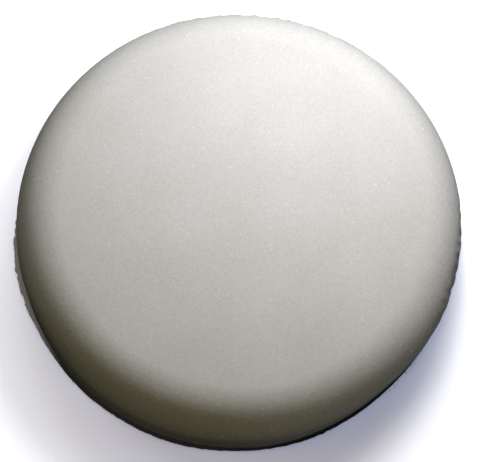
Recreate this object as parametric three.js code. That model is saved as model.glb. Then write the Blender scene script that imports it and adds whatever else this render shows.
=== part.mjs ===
// A round foam polishing pad for a polishing machine, lying on its hook-and-loop backing with its working
// face up. Millimetres, +Z up. The origin is the middle of the backing's lower side, at the tips of the loops.

import * as THREE from "three";

// Driving dimensions.
const PAD_DIAMETER = 150; // across the backing, the widest part of the pad
const PAD_HEIGHT = 30; // from the tips of the loops to the working face
const BACKING_OVERHANG = 0.4; // how far the backing stands out past the foam, all round
const SHOULDER_WIDTH = 15; // from the edge of the flat working face out to the wall
const SHOULDER_DROP = 15; // from the working face down to the top of the wall
const WALL_TUCK = 0.8; // how far the foot of the wall draws in below its widest line
const LOOP_PILE_HEIGHT = 1.2;
const GROUND_CLOTH_THICKNESS = 0.8;
const BONDING_FILM_THICKNESS = 0.3;
const BONDING_FILM_INSET = 1.8; // the film stops this far short of the foot of the wall

// How finely the round shapes are cut into flats.
const ROUND_STEPS = 96;
const SHOULDER_STEPS = 12;

// Heights and radii that follow from the driving dimensions.
const backingRadius = PAD_DIAMETER / 2;
const wallRadius = backingRadius - BACKING_OVERHANG;
const footRadius = wallRadius - WALL_TUCK;
const groundClothBottom = LOOP_PILE_HEIGHT;
const bondingFilmBottom = groundClothBottom + GROUND_CLOTH_THICKNESS;
const foamBottom = bondingFilmBottom + BONDING_FILM_THICKNESS;
const wallTop = PAD_HEIGHT - SHOULDER_DROP;

// Turns an outline of [radius, height] points, listed upwards from the axis and back to it, about +Z.
function turnedAboutZ(outline) {
  const points = outline.map(([radius, height]) => new THREE.Vector2(radius, height));
  const geometry = new THREE.LatheGeometry(points, ROUND_STEPS);
  geometry.rotateX(Math.PI / 2);
  return geometry;
}

// A flat round sheet from one height up to another.
function roundSheet(radius, bottom, thickness) {
  const top = bottom + thickness;
  return turnedAboutZ([
    [0, bottom],
    [radius, bottom],
    [radius, top],
    [0, top],
  ]);
}

// The foam: a short wall that draws in a little at its foot, a wide rounded shoulder ground on the edge, and
// an unbroken flat working face.
function foamDisc() {
  const outline = [
    [0, foamBottom],
    [footRadius, foamBottom],
  ];
  for (let step = 0; step <= SHOULDER_STEPS; step += 1) {
    const turn = ((Math.PI / 2) * step) / SHOULDER_STEPS;
    const radius = wallRadius - SHOULDER_WIDTH * (1 - Math.cos(turn));
    const height = wallTop + SHOULDER_DROP * Math.sin(turn);
    outline.push([radius, height]);
  }
  outline.push([0, PAD_HEIGHT]);
  return turnedAboutZ(outline);
}

// The hot-melt film that holds the foam to the backing.
function bondingFilm() {
  return roundSheet(footRadius - BONDING_FILM_INSET, bondingFilmBottom, BONDING_FILM_THICKNESS);
}

// The knitted ground of the hook-and-loop backing, which carries the loops.
function groundCloth() {
  return roundSheet(backingRadius, groundClothBottom, GROUND_CLOTH_THICKNESS);
}

// The brushed loops on the underside, as one layer as deep as the loops stand.
function loopPile() {
  return roundSheet(backingRadius, 0, LOOP_PILE_HEIGHT);
}

function subPart(name, geometry, look) {
  const mesh = new THREE.Mesh(geometry, new THREE.MeshStandardMaterial(look));
  mesh.name = name;
  return mesh;
}

const pad = new THREE.Group();
pad.name = "polishing_pad";
pad.add(subPart("foam_disc", foamDisc(), { color: 0xc6c5c0, roughness: 0.95, metalness: 0 }));
pad.add(subPart("bonding_film", bondingFilm(), { color: 0xcfc7ad, roughness: 0.35, metalness: 0 }));
pad.add(subPart("backing_ground_cloth", groundCloth(), { color: 0x393735, roughness: 0.9, metalness: 0 }));
pad.add(subPart("backing_loop_pile", loopPile(), { color: 0x2e2d2c, roughness: 1, metalness: 0 }));

export default pad;
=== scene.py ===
"""The looks of a round foam polishing pad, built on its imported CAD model.

Metres, +Z up, the same frame as the CAD: the pad lies on its loop backing with its working face up.
"""

import math

import bpy
import numpy as np
from mathutils import Matrix, Vector


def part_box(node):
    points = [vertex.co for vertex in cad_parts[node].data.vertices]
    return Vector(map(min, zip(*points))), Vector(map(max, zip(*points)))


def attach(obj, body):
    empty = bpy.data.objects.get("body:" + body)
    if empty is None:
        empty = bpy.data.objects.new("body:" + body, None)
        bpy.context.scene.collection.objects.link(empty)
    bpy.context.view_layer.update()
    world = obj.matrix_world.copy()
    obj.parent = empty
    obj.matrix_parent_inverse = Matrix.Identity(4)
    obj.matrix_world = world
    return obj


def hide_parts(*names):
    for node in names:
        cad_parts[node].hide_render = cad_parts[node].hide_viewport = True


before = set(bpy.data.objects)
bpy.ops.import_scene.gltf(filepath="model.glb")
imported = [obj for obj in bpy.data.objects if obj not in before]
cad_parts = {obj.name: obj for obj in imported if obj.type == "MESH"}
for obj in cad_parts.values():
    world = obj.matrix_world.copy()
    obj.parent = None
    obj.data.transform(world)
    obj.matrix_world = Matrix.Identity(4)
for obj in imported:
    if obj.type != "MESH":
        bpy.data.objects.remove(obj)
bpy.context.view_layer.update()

MM = 0.001
DEGREE = math.pi / 180

# What the CAD says about each node.
FOAM_LOW, FOAM_HIGH = (Vector(corner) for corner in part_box("foam_disc"))
CLOTH_LOW, CLOTH_HIGH = (Vector(corner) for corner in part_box("backing_ground_cloth"))
PILE_LOW, PILE_HIGH = (Vector(corner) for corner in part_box("backing_loop_pile"))

# The foam's outline, as the CAD turns it.
WALL_RADIUS = FOAM_HIGH.x
SHOULDER_WIDTH = 15 * MM
SHOULDER_DROP = 15 * MM
WALL_TUCK = 0.8 * MM
WALL_TOP = FOAM_HIGH.z - SHOULDER_DROP
SHOULDER_STEPS = 60

# How the foam's surface is broken up.
FOAM_GRID = 290  # points along each side of the square grid that is wrapped over the foam
CELL_SIZE = 1.0 * MM  # the foam's larger open cells, which the mesh holds
CELL_DEPTH = 0.06 * MM
SLACK_SIZE = 34 * MM  # slow waves of a soft piece that was never quite flat
SLACK_DEPTH = 0.22 * MM
OUT_OF_ROUND = 0.62 * MM  # soft foam is never cut to a true circle
LONG_WAY = 45 * DEGREE
SHORT_SIDE = 306 * DEGREE  # where foam and backing were both cut a little short, the foam more
SHORT_SPAN = 32 * DEGREE
SHORT_DEPTH = 0.6 * MM
SHORT_FOAM_DEPTH = 0.3 * MM  # how much further in the foam was cut there than the backing
RAW_SIZE = 2.6 * MM  # the torn look of the cut wall
RAW_DEPTH = 0.14 * MM
RAW_START = 3 * MM  # how far above the wall the torn look begins
RAW_FADE = 5 * MM
TRIMMED_SIDES = (  # direction, span and depth of the coarser bites where the edge was trimmed
    (80 * DEGREE, 48 * DEGREE, 0.7 * MM),
    (348 * DEGREE, 30 * DEGREE, 0.5 * MM),
)
TRIMMED_SIZE = 2.0 * MM
TRIMMED_STRETCH = 0.3  # the bites are longer upwards than across, by one over this
TRIMMED_START = 5 * MM  # how far below the working face the bites begin
TRIMMED_FADE = 5 * MM
FOOT_FADE = 0.5 * MM  # the foot stays close to its outline over this height
FOOT_SHARE = 0.3  # how much of the roughness is left at the foot
SLOPE_REACH = 0.3 * MM  # how far to either side of a point its slope is measured

# How the backing was cut.
RIM_STEPS = 1440  # points round the cloth's edge
CLOTH_RINGS = 16
CUT_SHRINK = 0.9 * MM  # the cloth shrinks back a little from its 150 mm cut
CUT_RADIUS = CLOTH_HIGH.x - CUT_SHRINK
FRAYED_SIDE = 187 * DEGREE  # where the cloth was cut wide and its edge has frayed
FRAYED_SPAN = 30 * DEGREE
FRAYED_WIDTH = 1.65 * MM
OFF_CENTRE = 0.5 * MM  # how far the cloth's middle lies off the foam's
OFF_CENTRE_WAY = 245 * DEGREE
RAGGED_DEPTH = 0.10 * MM
FRAYED_DEPTH = 0.35 * MM
RAGGED_SIZE = 1.5 * MM
WANDER_DEPTH = 0.25 * MM
WANDER_SIZE = 24 * MM
KNIT_PITCH = 0.9 * MM
KNIT_DEPTH = 0.09 * MM
INNERMOST_RING = 0.004  # as a share of the edge's radius
RING_CROWDING = 1.8  # how much closer together the rings lie towards the edge
EDGE_SHARE = 0.45  # how much of its thickness the cloth keeps at its pressed edge
PAINTED_LIGHT_FROM = -0.80  # where the painted light starts to turn the backing grey, as a share of its radius along X
PAINTED_LIGHT_TO = -0.92

# The loops on the underside.
PILE_BED_LIFT = 0.75 * MM  # how far the underside of the pile's root lies above the floor
LOOP_SPACING = 1.9 * MM
LOOP_SPAN = 0.9 * MM
LOOP_POINTS = 7
LOOP_MARGIN = 1.2 * MM  # how far inside the full 150 mm the outermost loops stand, before they stray
LOOP_JITTER = 0.35  # how far a loop strays from its row, as a share of the spacing
LOOP_LEAN = 0.5  # the most that a loop leans sideways, for how far down it reaches
LOOP_SPAN_RANGE = (0.6, 1.2)
LOOP_DEPTH_RANGE = (0.75, 0.98)

# The fibres.
FIBRE_RADIUS = 0.055 * MM
FINE_FIBRE = 0.8  # how thick a cut fibre is beside a loop
FRINGE_COUNT = 1500
FRINGE_LENGTH = 0.6 * MM
FRINGE_POINTS = 4
FRINGE_ROOT = 0.25 * MM  # how far inside the cut edge a fibre starts
FRINGE_LOWEST = 0.3 * MM  # above the floor
FRINGE_HIGHEST = 0.2 * MM  # below the top of the cloth
FRINGE_LENGTH_RANGE = (0.35, 1.0)
FRINGE_SPREAD = 0.8  # radians to either side of straight out
FRINGE_RISE = 0.5
ODD_DIRECTION = (0.31, 0.87, 0.38)  # a slanting direction, which fibres hardly ever run along
TINY = 1e-9  # stands in for a length of nothing, so that it can be divided by

# The camera stands over the pad's near side and a little to its left.
CAMERA_TILT = 18 * DEGREE  # from straight above
CAMERA_TURN = -13 * DEGREE  # round the pad, to the left of its near side
CAMERA_DISTANCE = 0.68
SENSOR_WIDTH = 36.0
VIEW_WIDTH = 167.2 * MM  # what the picture's width takes in, at the pad
AIM = Vector((3.2 * MM, -2.5 * MM, 14 * MM))

# Light.
SOFTBOX_SPREAD = 0.4  # each softbox's width for its distance
SUN_WIDTH = 30 * DEGREE
FLOOR_HALF_WIDTH = 1.5
FLOOR_GLOW = 0.30
FLOOR_GLOW_COLOUR = (0.45, 0.55, 1.0, 1)
AMBIENT = 0.018
AMBIENT_COLOUR = (1.0, 0.88, 0.65, 1)
HORIZON_SPREAD = 0.15
BACKDROP_COLOUR = (0.86, 0.87, 0.90, 1)
SOFTBOXES = (  # name, degrees round from +X, degrees up, distance, power, colour
    ("key_left", 70, 50, 0.16, 0.270, (0.89, 0.90, 1.0)),
    ("key_right", 52, 50, 0.16, 0.164, (1.0, 0.98, 0.94)),
    ("back_left", 120, 35, 0.30, 0.252, (0.98, 1.0, 0.91)),
    ("warm_overhead", 270, 78, 0.60, 0.52, (1.0, 0.86, 0.42)),
    ("low_front", 258, 12, 0.60, 0.19, (1.0, 0.94, 0.74)),
    ("low_right", 350, 8, 0.60, 0.42, (0.80, 0.86, 1.0)),
)
FLOOR_SUNS = (  # name, degrees round from +X, degrees up, strength, colour
    ("floor_back", 74, 38, 1.15, (0.93, 0.95, 1.0)),
    ("floor_back_left", 135, 35, 0.9, (1.0, 1.0, 1.0)),
    ("floor_left", 175, 45, 0.50, (1.0, 0.74, 0.38)),
)
BACKING_SUN = ("backing_left", 180, 35, 1.5, (1.0, 0.99, 0.93))


# ---------------------------------------------------------------------------------------------------------
# Noise, the same each run
# ---------------------------------------------------------------------------------------------------------

AXIS_PRIMES = (73856093, 19349663, 83492791)
SEED_PRIME = 2654435761
SCRAMBLES = ((15, 0x2C1B3C6D), (12, 0x297A2D39))
LAST_SHIFT = 15
WORD = 0xFFFFFFFF
FAR_OFF = 9.0  # farther, in squared cell sizes, than the nearest cell's middle can be


def lattice_random(cells, seed):
    """A number from 0 to 1 for each whole-numbered lattice point."""
    mixed = seed * SEED_PRIME
    for axis, prime in enumerate(AXIS_PRIMES):
        mixed = mixed ^ cells[..., axis] * prime
    mixed = mixed.astype(np.int64) & WORD
    for shift, factor in SCRAMBLES:
        mixed = (mixed ^ (mixed >> shift)) * factor & WORD
    mixed = mixed ^ (mixed >> LAST_SHIFT)
    return mixed / WORD


def smooth_noise(points, size, seed):
    """Soft lumps about size across, from -1 to 1."""
    place = points / size
    base = np.floor(place).astype(np.int64)
    part = place - base
    part = part * part * (3 - 2 * part)
    total = np.zeros(len(points))
    for corner in np.ndindex(2, 2, 2):
        weight = np.prod(np.where(np.array(corner) == 1, part, 1 - part), axis=1)
        total += weight * lattice_random(base + np.array(corner), seed)
    return total * 2 - 1


def cell_distance(points, size, seed):
    """How far each point is from the nearest cell's middle, in cell sizes."""
    place = points / size
    base = np.floor(place).astype(np.int64)
    nearest = np.full(len(points), FAR_OFF)
    for step in np.ndindex(3, 3, 3):
        cell = base + np.array(step) - 1
        middle = cell + np.stack([lattice_random(cell, seed + axis) for axis in range(3)], axis=1)
        nearest = np.minimum(nearest, ((middle - place) ** 2).sum(axis=1))
    return np.sqrt(nearest)


# ---------------------------------------------------------------------------------------------------------
# Meshes
# ---------------------------------------------------------------------------------------------------------

def new_piece(name, points, faces, material, smooth=True):
    """An object in the scene, made of these points and faces."""
    mesh = bpy.data.meshes.new(name)
    mesh.from_pydata(points.tolist(), [], faces)
    mesh.validate()
    mesh.update()
    if smooth:
        mesh.polygons.foreach_set("use_smooth", [True] * len(mesh.polygons))
    piece = bpy.data.objects.new(name, mesh)
    piece.data.materials.append(material)
    bpy.context.scene.collection.objects.link(piece)
    return piece


def grid_faces(rows, columns):
    """The quads of a grid of points that is listed row by row."""
    corner = np.arange(rows * columns).reshape(rows, columns)
    quads = np.stack([corner[:-1, :-1], corner[:-1, 1:], corner[1:, 1:], corner[1:, :-1]], axis=-1)
    return quads.reshape(-1, 4).tolist()


def band_faces(rows, columns):
    """The quads between closed rings of points that are listed ring by ring."""
    corner = np.arange(rows * columns).reshape(rows, columns)
    beside = np.roll(corner, -1, axis=1)
    quads = np.stack([corner[:-1], beside[:-1], beside[1:], corner[1:]], axis=-1)
    return quads.reshape(-1, 4).tolist()


def square_to_disc(across, along):
    """Maps a square's points onto the unit disc with the same spacing all over."""
    wide = np.abs(across) > np.abs(along)
    radius = np.where(wide, across, along)
    safe = np.where(radius == 0, 1, radius)
    angle = np.where(wide, math.pi / 4 * along / safe, math.pi / 2 - math.pi / 4 * across / safe)
    return radius * np.cos(angle), radius * np.sin(angle)


def near(angle, middle, span):
    """1 in the middle direction, falling smoothly to 0 at span to either side of it."""
    away = np.abs((angle - middle + math.pi) % (2 * math.pi) - math.pi)
    return 0.5 + 0.5 * np.cos(math.pi * np.clip(away / span, 0, 1))


def out_of_round(angle):
    """How far the pad's cut edge lies outside a true circle in each direction."""
    oval = OUT_OF_ROUND * np.cos(2 * (angle - LONG_WAY))
    return oval - SHORT_DEPTH * near(angle, SHORT_SIDE, SHORT_SPAN)


def foam_outline():
    """The foam's side view from the middle of its face to its foot, as radius and height."""
    turn = np.linspace(math.pi / 2, 0, SHOULDER_STEPS)
    shoulder_radius = WALL_RADIUS - SHOULDER_WIDTH * (1 - np.cos(turn))
    shoulder_height = WALL_TOP + SHOULDER_DROP * np.sin(turn)
    radius = np.concatenate([[0], shoulder_radius, [WALL_RADIUS - WALL_TUCK]])
    height = np.concatenate([[FOAM_HIGH.z], shoulder_height, [FOAM_LOW.z]])
    return radius, height


def outline_normals(place, angle, travelled, outline_radius, outline_height):
    """The outward normals of the turned outline, at each place along it and angle round it."""
    after = place + SLOPE_REACH
    before = place - SLOPE_REACH
    slope_radius = np.interp(after, travelled, outline_radius) - np.interp(before, travelled, outline_radius)
    slope_height = np.interp(after, travelled, outline_height) - np.interp(before, travelled, outline_height)
    length = np.hypot(slope_radius, slope_height)
    out = -slope_height / length
    up = slope_radius / length
    return np.stack([out * np.cos(angle), out * np.sin(angle), up], axis=1)


def foam_roughness(points, angle, height):
    """How far each point of the foam lies below its true outline."""
    on_wall = np.clip((WALL_TOP + RAW_START - height) / RAW_FADE, 0, 1)
    inward = SLACK_DEPTH * (0.5 + 0.5 * smooth_noise(points, SLACK_SIZE, seed=11))
    inward += CELL_DEPTH * (1 - np.clip(cell_distance(points, CELL_SIZE, seed=21), 0, 1))
    inward += RAW_DEPTH * on_wall * (0.5 + 0.5 * smooth_noise(points, RAW_SIZE, seed=31))
    trimmed = sum(depth * near(angle, middle, span) for middle, span, depth in TRIMMED_SIDES)
    low_down = np.clip((FOAM_HIGH.z - TRIMMED_START - height) / TRIMMED_FADE, 0, 1)
    upright = points * (1, 1, TRIMMED_STRETCH)
    bites = np.clip(0.5 + smooth_noise(upright, TRIMMED_SIZE, seed=41), 0, 1)
    inward += trimmed * low_down * bites
    at_foot = np.clip((height - FOAM_LOW.z) / FOOT_FADE, 0, 1)
    return inward * np.maximum(at_foot, FOOT_SHARE)


def foam_disc(material):
    """The foam: a square grid wrapped over the face, shoulder and wall, and broken up along its normals."""
    steps = np.linspace(-1, 1, FOAM_GRID)
    across, along = np.meshgrid(steps, steps)
    x, y = square_to_disc(across.ravel(), along.ravel())
    share = np.minimum(np.hypot(x, y), 1)
    angle = np.arctan2(y, x)

    outline_radius, outline_height = foam_outline()
    lengths = np.hypot(np.diff(outline_radius), np.diff(outline_height))
    travelled = np.concatenate([[0], np.cumsum(lengths)])
    place = share * travelled[-1]
    radius = np.interp(place, travelled, outline_radius)
    cut_in = SHORT_FOAM_DEPTH * near(angle, SHORT_SIDE, SHORT_SPAN)
    radius += (out_of_round(angle) - cut_in) * share ** 2
    height = np.interp(place, travelled, outline_height)
    points = np.stack([radius * np.cos(angle), radius * np.sin(angle), height], axis=1)
    normals = outline_normals(place, angle, travelled, outline_radius, outline_height)
    points -= normals * foam_roughness(points, angle, height)[:, None]
    points[:, 2] = np.maximum(points[:, 2], FOAM_LOW.z)

    corner = np.arange(FOAM_GRID ** 2).reshape(FOAM_GRID, FOAM_GRID)
    rim = np.concatenate([corner[0, :-1], corner[:-1, -1], corner[-1, :0:-1], corner[:0:-1, 0]])
    points[rim, 2] = FOAM_LOW.z
    faces = grid_faces(FOAM_GRID, FOAM_GRID)
    faces.append(rim[::-1].tolist())
    return new_piece("foam_disc_surface", points, faces, material)


def cloth_edge(angle):
    """The radius of the backing's cut edge in each direction, widest and most ragged on its frayed side."""
    around = np.stack([np.cos(angle), np.sin(angle), np.zeros_like(angle)], axis=1) * CUT_RADIUS
    frayed = near(angle, FRAYED_SIDE, FRAYED_SPAN)
    radius = CUT_RADIUS + out_of_round(angle) + FRAYED_WIDTH * frayed
    radius += OFF_CENTRE * np.cos(angle - OFF_CENTRE_WAY)
    radius += WANDER_DEPTH * smooth_noise(around, WANDER_SIZE, seed=5)
    radius += (RAGGED_DEPTH + FRAYED_DEPTH * frayed) * smooth_noise(around, RAGGED_SIZE, seed=6)
    return radius


def knitted_disc(name, low, high, material):
    """A thin round cloth from low to high, closed at its edge, with knitted ribs on both sides."""
    angle = np.linspace(0, 2 * math.pi, RIM_STEPS, endpoint=False)
    edge = cloth_edge(angle)
    share = 1 - (1 - INNERMOST_RING) * (np.linspace(1, 0, CLOTH_RINGS) ** RING_CROWDING)
    middle = (low + high) / 2
    half = (high - low) / 2
    layers = []
    for side in (1, -1):
        order = share if side == 1 else share[::-1]
        for part in order:
            radius = edge * part
            ring = np.stack([radius * np.cos(angle), radius * np.sin(angle), np.zeros_like(angle)], axis=1)
            ribs = np.sin(ring[:, 0] / KNIT_PITCH * 2 * math.pi) * np.sin(ring[:, 1] / KNIT_PITCH * math.pi)
            thick = half - KNIT_DEPTH * (0.5 + 0.5 * ribs)
            if part == 1:
                thick = half * EDGE_SHARE
            ring[:, 2] = middle + side * thick
            layers.append(ring)
    points = np.concatenate(layers)
    faces = band_faces(2 * CLOTH_RINGS, RIM_STEPS)
    first = list(range(RIM_STEPS))
    last = [(2 * CLOTH_RINGS - 1) * RIM_STEPS + step for step in range(RIM_STEPS)]
    faces.append(first[::-1])
    faces.append(last)
    flipped = [face[::-1] for face in faces]
    return new_piece(name, points, flipped, material)


def tubes(name, paths, radius, material, sides=3):
    """One mesh of many thin closed tubes, each along a path of the same number of points."""
    count, steps, _ = paths.shape
    ahead = np.gradient(paths, axis=1)
    ahead /= np.linalg.norm(ahead, axis=2, keepdims=True)
    side = np.cross(ahead, np.array(ODD_DIRECTION))
    side /= np.maximum(np.linalg.norm(side, axis=2, keepdims=True), TINY)
    other = np.cross(ahead, side)
    turns = np.linspace(0, 2 * math.pi, sides, endpoint=False)
    rings = [paths + radius * (math.cos(turn) * side + math.sin(turn) * other) for turn in turns]
    points = np.stack(rings, axis=2).reshape(-1, 3)
    quad = []
    for step in range(steps - 1):
        for turn in range(sides):
            beside = (turn + 1) % sides
            quad.append([step * sides + turn, step * sides + beside,
                         (step + 1) * sides + beside, (step + 1) * sides + turn])
    caps = [list(range(sides))[::-1], [(steps - 1) * sides + turn for turn in range(sides)]]
    faces = []
    for tube in range(count):
        start = tube * steps * sides
        faces += [[start + index for index in face] for face in quad + caps]
    return new_piece(name, points, faces, material)


# ---------------------------------------------------------------------------------------------------------
# Materials
# ---------------------------------------------------------------------------------------------------------

# A colour Mix node's sockets, by place: the two colours going in and the one coming out.
MIX_FIRST = 6
MIX_SECOND = 7
MIX_RESULT = 2


class Nodes:
    """A short way to add nodes to a material."""

    def __init__(self, name):
        self.material = bpy.data.materials.new(name)
        self.material.use_nodes = True
        self.tree = self.material.node_tree
        self.shader = self.tree.nodes["Principled BSDF"]
        self.place = self.add("ShaderNodeTexCoord").outputs["Object"]

    def add(self, kind, **settings):
        node = self.tree.nodes.new(kind)
        for key, value in settings.items():
            setattr(node, key, value)
        return node

    def link(self, source, target):
        self.tree.links.new(source, target)

    def set(self, **values):
        for key, value in values.items():
            self.shader.inputs[key.replace("_", " ")].default_value = value

    def noise(self, size, detail=3.0):
        node = self.add("ShaderNodeTexNoise")
        node.inputs["Scale"].default_value = 1 / size
        node.inputs["Detail"].default_value = detail
        self.link(self.place, node.inputs["Vector"])
        return node.outputs["Fac"]

    def voronoi(self, size, output="Distance"):
        node = self.add("ShaderNodeTexVoronoi")
        node.inputs["Scale"].default_value = 1 / size
        self.link(self.place, node.inputs["Vector"])
        return node.outputs[output]

    def math(self, operation, first, second):
        node = self.add("ShaderNodeMath", operation=operation)
        for socket, value in zip(node.inputs, (first, second)):
            if isinstance(value, (int, float)):
                socket.default_value = value
            else:
                self.link(value, socket)
        return node.outputs[0]

    def spread(self, source, low, high, to_low=0.0, to_high=1.0):
        node = self.add("ShaderNodeMapRange")
        for key, value in (("From Min", low), ("From Max", high), ("To Min", to_low), ("To Max", to_high)):
            node.inputs[key].default_value = value
        self.link(source, node.inputs["Value"])
        return node.outputs["Result"]

    def mix(self, factor, first, second):
        node = self.add("ShaderNodeMix", data_type="RGBA")
        self.link(factor, node.inputs["Factor"])
        for socket, value in ((node.inputs[MIX_FIRST], first), (node.inputs[MIX_SECOND], second)):
            if isinstance(value, tuple):
                socket.default_value = (*value, 1)
            else:
                self.link(value, socket)
        return node.outputs[MIX_RESULT]

    def bump(self, height, distance, strength=1.0, below=None):
        node = self.add("ShaderNodeBump")
        node.inputs["Strength"].default_value = strength
        node.inputs["Distance"].default_value = distance
        self.link(height, node.inputs["Height"])
        if below is not None:
            self.link(below, node.inputs["Normal"])
        return node.outputs["Normal"]


def foam_material():
    """Fine open-cell foam: pale grey, a little uneven cell by cell, with a few painted glints on single
    cells.

    It darkens from the ground face, down the shoulder, to the cut wall, partly where the open cells face
    sideways and partly as painted shade, which deepens towards the wall's foot.
    """
    face_dull = (0.425, 0.422, 0.405)
    face_pale = (0.45, 0.447, 0.435)
    # The wall's colours are partly painted shade: the wall darkens from its head down to its foot, where it
    # meets the floor.
    shaded_wall_foot = (0.30, 0.297, 0.283)
    wall_head = (0.38, 0.377, 0.362)
    look = Nodes("foam")
    height = look.add("ShaderNodeSeparateXYZ")
    look.link(look.place, height.inputs[0])
    face = look.mix(look.spread(look.noise(22 * MM, 2), 0.3, 0.7), face_dull, face_pale)
    wall = look.mix(look.spread(height.outputs["Z"], FOAM_LOW.z, WALL_TOP), shaded_wall_foot, wall_head)
    ground = look.mix(look.spread(height.outputs["Z"], WALL_TOP, FOAM_HIGH.z), wall, face)
    cell = look.voronoi(0.5 * MM, "Color")
    unevenness = look.spread(height.outputs["Z"], WALL_TOP, FOAM_HIGH.z, 0.32, 0.14)
    celled = look.mix(look.math("MULTIPLY", cell, unevenness), ground, (0, 0, 0))
    # Painted glints: a few cells turn near white, four times as strongly on the wall as on the face.
    painted_glint_strength = look.spread(height.outputs["Z"], WALL_TOP, FOAM_HIGH.z, 1.0, 0.25)
    painted_glint = look.math("MULTIPLY", look.spread(cell, 0.89, 0.95), painted_glint_strength)
    colour = look.mix(painted_glint, celled, (0.80, 0.80, 0.79))
    look.link(colour, look.shader.inputs["Base Color"])
    look.link(look.spread(look.noise(0.8 * MM), 0.3, 0.7, 0.8, 1.0), look.shader.inputs["Roughness"])
    pits = look.bump(look.voronoi(0.45 * MM), 0.05 * MM, 0.6)
    grain = look.bump(look.noise(0.22 * MM, 2), 0.03 * MM, 0.6, pits)
    look.link(grain, look.shader.inputs["Normal"])
    look.set(Sheen_Weight=0.1, Sheen_Roughness=0.6, Specular_IOR_Level=0.2)
    return look.material


def film_material():
    """Set hot-melt glue, cloudy and amber-white."""
    look = Nodes("bonding_film")
    colour = look.mix(look.noise(3 * MM), (0.58, 0.53, 0.38), (0.70, 0.66, 0.54))
    look.link(colour, look.shader.inputs["Base Color"])
    look.link(look.spread(look.noise(1.5 * MM), 0.3, 0.7, 0.25, 0.5), look.shader.inputs["Roughness"])
    look.link(look.bump(look.noise(1.1 * MM), 0.1 * MM), look.shader.inputs["Normal"])
    return look.material


def cloth_material(name, dark, light, painted_light_colour, sheen):
    """Black knitted nylon, greyer where its fibres stand up, with painted light that turns its frayed left
    side pale grey.
    """
    look = Nodes(name)
    fuzz = look.spread(look.noise(0.5 * MM, 4), 0.35, 0.75)
    across = look.add("ShaderNodeSeparateXYZ")
    look.link(look.place, across.inputs[0])
    # Painted light: along its frayed left side the backing turns pale grey.
    frayed = look.spread(across.outputs["X"], PAINTED_LIGHT_FROM * CUT_RADIUS, PAINTED_LIGHT_TO * CUT_RADIUS)
    painted_light = look.math("MULTIPLY", frayed, look.spread(fuzz, 0, 1, 0.6, 1.0))
    knit = look.mix(painted_light, look.mix(fuzz, dark, light), painted_light_colour)
    look.link(knit, look.shader.inputs["Base Color"])
    look.link(look.spread(look.noise(0.7 * MM), 0.3, 0.7, 0.7, 0.95), look.shader.inputs["Roughness"])
    look.link(look.bump(look.noise(0.3 * MM, 3), 0.12 * MM), look.shader.inputs["Normal"])
    look.set(Sheen_Weight=sheen, Sheen_Roughness=0.4, Specular_IOR_Level=0.1)
    return look.material


def floor_material():
    """A pale sheet that glows faintly blue, so that the shadows on it stay bluish."""
    look = Nodes("pale_floor")
    colour = look.mix(look.noise(90 * MM), (0.90, 0.90, 0.91), (0.93, 0.93, 0.93))
    look.link(colour, look.shader.inputs["Base Color"])
    look.set(Roughness=0.7, Emission_Color=FLOOR_GLOW_COLOUR, Emission_Strength=FLOOR_GLOW)
    return look.material


# ---------------------------------------------------------------------------------------------------------
# The backing's loops and fringe
# ---------------------------------------------------------------------------------------------------------

def loop_paths(random):
    """Arched loops in rows over the underside, each leaning a little its own way."""
    reach = -CLOTH_LOW.x - LOOP_MARGIN
    row = np.arange(-reach, reach, LOOP_SPACING)
    x, y = (axis.ravel() for axis in np.meshgrid(row, row))
    x = x + random.uniform(-LOOP_JITTER, LOOP_JITTER, len(x)) * LOOP_SPACING
    y = y + random.uniform(-LOOP_JITTER, LOOP_JITTER, len(y)) * LOOP_SPACING
    inside = np.hypot(x, y) < reach
    x, y = x[inside], y[inside]
    heading = random.uniform(0, 2 * math.pi, len(x))
    lean = random.uniform(-LOOP_LEAN, LOOP_LEAN, (len(x), 1))
    span = LOOP_SPAN * random.uniform(*LOOP_SPAN_RANGE, (len(x), 1))
    deep = (PILE_HIGH.z - PILE_LOW.z - FIBRE_RADIUS) * random.uniform(*LOOP_DEPTH_RANGE, (len(x), 1))
    turn = np.linspace(0, math.pi, LOOP_POINTS)[None, :]
    forward = -np.cos(turn) * span / 2
    down = np.sin(turn) * deep
    sideways = lean * down
    px = x[:, None] + forward * np.cos(heading)[:, None] - sideways * np.sin(heading)[:, None]
    py = y[:, None] + forward * np.sin(heading)[:, None] + sideways * np.cos(heading)[:, None]
    return np.stack([px, py, PILE_HIGH.z - down], axis=2)


def fringe_paths(random):
    """Cut fibre ends that stand out round the edge of the backing."""
    angle = np.sort(random.uniform(0, 2 * math.pi, FRINGE_COUNT))
    start = cloth_edge(angle) - FRINGE_ROOT
    height = random.uniform(PILE_LOW.z + FRINGE_LOWEST, CLOTH_HIGH.z - FRINGE_HIGHEST, FRINGE_COUNT)
    length = FRINGE_LENGTH * random.uniform(*FRINGE_LENGTH_RANGE, FRINGE_COUNT)
    heading = angle + random.uniform(-FRINGE_SPREAD, FRINGE_SPREAD, FRINGE_COUNT)
    rise = random.uniform(-FRINGE_RISE, FRINGE_RISE, FRINGE_COUNT) * length
    step = np.linspace(0, 1, FRINGE_POINTS)[None, :]
    px = (start * np.cos(angle))[:, None] + (length * np.cos(heading))[:, None] * step
    py = (start * np.sin(angle))[:, None] + (length * np.sin(heading))[:, None] * step
    pz = height[:, None] + rise[:, None] * step ** 2
    return np.stack([px, py, np.maximum(pz, PILE_LOW.z + FIBRE_RADIUS)], axis=2)


# ---------------------------------------------------------------------------------------------------------
# Camera, floor and light
# ---------------------------------------------------------------------------------------------------------

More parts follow.
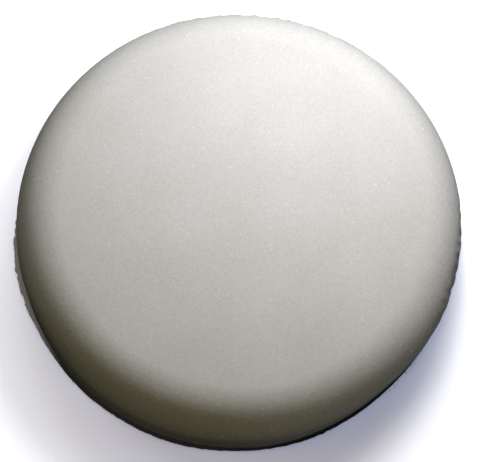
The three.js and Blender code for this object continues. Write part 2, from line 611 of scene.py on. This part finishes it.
def add_camera():
    """The camera, with the pad's own X axis level across the picture."""
    data = bpy.data.cameras.new("camera")
    data.sensor_width = SENSOR_WIDTH
    data.lens = SENSOR_WIDTH * CAMERA_DISTANCE / VIEW_WIDTH
    camera = bpy.data.objects.new("camera", data)
    back = Vector((
        math.sin(CAMERA_TILT) * math.sin(CAMERA_TURN),
        -math.sin(CAMERA_TILT) * math.cos(CAMERA_TURN),
        math.cos(CAMERA_TILT),
    ))
    camera.location = AIM + back * CAMERA_DISTANCE
    right = Vector((1, 0, 0))
    right = (right - back * right.dot(back)).normalized()
    up = back.cross(right)
    rotation = np.array([right, up, back]).T
    camera.rotation_euler = Matrix(rotation.tolist()).to_euler()
    bpy.context.scene.collection.objects.link(camera)
    bpy.context.scene.camera = camera


def direction(azimuth, elevation):
    """The unit vector towards a place in the sky, in degrees round from +X and up from the floor."""
    level = math.cos(elevation * DEGREE)
    return Vector((
        level * math.cos(azimuth * DEGREE),
        level * math.sin(azimuth * DEGREE),
        math.sin(elevation * DEGREE),
    ))


def add_softbox(name, azimuth, elevation, distance, power, colour):
    """A round soft light aimed at the working face."""
    data = bpy.data.lights.new(name, "AREA")
    data.shape = "DISK"
    data.size = SOFTBOX_SPREAD * distance
    data.energy = power
    data.color = colour
    light = bpy.data.objects.new(name, data)
    toward = direction(azimuth, elevation)
    light.location = Vector((0, 0, FOAM_HIGH.z)) + toward * distance
    light.rotation_euler = toward.to_track_quat("Z", "Y").to_euler()
    light.visible_camera = False
    bpy.context.scene.collection.objects.link(light)


def add_sun(name, azimuth, elevation, strength, colour, receivers):
    """A wide far-off light that falls only on the receivers. The pad still throws its shadow on them."""
    data = bpy.data.lights.new(name, "SUN")
    data.energy = strength
    data.angle = SUN_WIDTH
    data.color = colour
    light = bpy.data.objects.new(name, data)
    light.rotation_euler = direction(azimuth, elevation).to_track_quat("Z", "Y").to_euler()
    bpy.context.scene.collection.objects.link(light)
    lit = bpy.data.collections.new(name + "_lights_only")
    for receiver in receivers:
        lit.objects.link(receiver)
    light.light_linking.receiver_collection = lit


def add_floor(material):
    """A plain floor under the pad, which throws no light back onto the wall."""
    half = FLOOR_HALF_WIDTH
    points = np.array([(-half, -half, PILE_LOW.z), (half, -half, PILE_LOW.z),
                       (half, half, PILE_LOW.z), (-half, half, PILE_LOW.z)])
    floor = new_piece("floor", points, [[0, 1, 2, 3]], material, smooth=False)
    floor.visible_diffuse = False
    floor.visible_glossy = False
    return floor


def add_world():
    """Soft light from the whole room above the floor, none from below it, and a pale wall behind the pad."""
    world = bpy.data.worlds.new("studio")
    world.use_nodes = True
    nodes = world.node_tree.nodes
    links = world.node_tree.links
    place = nodes.new("ShaderNodeTexCoord")
    height = nodes.new("ShaderNodeSeparateXYZ")
    above = nodes.new("ShaderNodeMapRange")
    above.inputs["From Max"].default_value = HORIZON_SPREAD
    above.inputs["To Max"].default_value = AMBIENT
    room = nodes["Background"]
    room.inputs["Color"].default_value = AMBIENT_COLOUR
    backdrop = nodes.new("ShaderNodeBackground")
    backdrop.inputs["Color"].default_value = BACKDROP_COLOUR
    seen = nodes.new("ShaderNodeLightPath")
    either = nodes.new("ShaderNodeMixShader")
    links.new(place.outputs["Generated"], height.inputs[0])
    links.new(height.outputs["Z"], above.inputs["Value"])
    links.new(above.outputs["Result"], room.inputs["Strength"])
    links.new(seen.outputs["Is Camera Ray"], either.inputs[0])
    links.new(room.outputs[0], either.inputs[1])
    links.new(backdrop.outputs[0], either.inputs[2])
    links.new(either.outputs[0], nodes["World Output"].inputs["Surface"])
    bpy.context.scene.world = world


# ---------------------------------------------------------------------------------------------------------
# The pad
# ---------------------------------------------------------------------------------------------------------

random = np.random.default_rng(7)
cloth_look = cloth_material(
    "ground_cloth",
    dark=(0.014, 0.0137, 0.0128),
    light=(0.04, 0.039, 0.036),
    # the pale grey of the painted light on the cloth's left side
    painted_light_colour=(0.27, 0.266, 0.243),
    sheen=0.02,
)
pile_look = cloth_material(
    "loop_pile",
    dark=(0.012, 0.0118, 0.0114),
    light=(0.06, 0.059, 0.057),
    # the painted light on the pile's left side is only its lighter grey
    painted_light_colour=(0.06, 0.059, 0.057),
    sheen=0.1,
)

foam = foam_disc(foam_material())
film = bpy.data.objects["bonding_film"]
film.data.materials.clear()
film.data.materials.append(film_material())
cloth = knitted_disc("backing_cloth", CLOTH_LOW.z, CLOTH_HIGH.z, cloth_look)
pile = knitted_disc("loop_pile_bed", PILE_LOW.z + PILE_BED_LIFT, PILE_HIGH.z, pile_look)
loops = tubes("pile_loops", loop_paths(random), FIBRE_RADIUS, pile_look)
fringe = tubes("cut_fibre_fringe", fringe_paths(random), FIBRE_RADIUS * FINE_FIBRE, cloth_look)

for piece, slot in ((foam, "foam"), (cloth, "ground_cloth"), (pile, "loop_pile"),
                    (loops, "loop_pile"), (fringe, "ground_cloth")):
    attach(piece, "root")

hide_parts("foam_disc")
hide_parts("backing_ground_cloth")
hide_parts("backing_loop_pile")

floor = add_floor(floor_material())
add_camera()
add_world()
for softbox in SOFTBOXES:
    add_softbox(*softbox)
for sun in FLOOR_SUNS:
    add_sun(*sun, receivers=(floor,))
add_sun(*BACKING_SUN, receivers=(cloth, pile, loops, fringe))
bpy.context.scene.view_settings.view_transform = "Standard"
